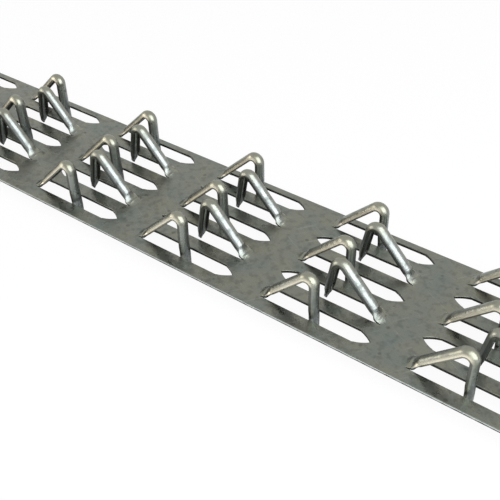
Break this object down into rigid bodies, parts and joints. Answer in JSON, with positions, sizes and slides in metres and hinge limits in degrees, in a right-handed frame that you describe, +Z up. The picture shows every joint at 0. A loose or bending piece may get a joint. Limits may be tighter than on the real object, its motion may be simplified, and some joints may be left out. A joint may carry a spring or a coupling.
{
  "type": "truss nail plate",
  "caption": "Long punched and folded galvanised steel strip with rows of rolled, hooked teeth that rise from pointed slots, for pressing into timber joints.",
  "frame": {"origin": "centre of the strip in plan, at the level of the longer points of the teeth, which it stands on", "axes": "+X along the strip, +Y across it towards the narrower of its two plain edges, +Z up, the way the teeth stand"},
  "size_m": [0.3, 0.0566, 0.0211],
  "materials": {
    "nail_plate": "thin galvanised coat, mottled grey on the flat sheet and bright along the rolled teeth"
  },
  "bodies": {
    "root": {"nail_plate": "nail_plate"}
  },
  "joints": []
}
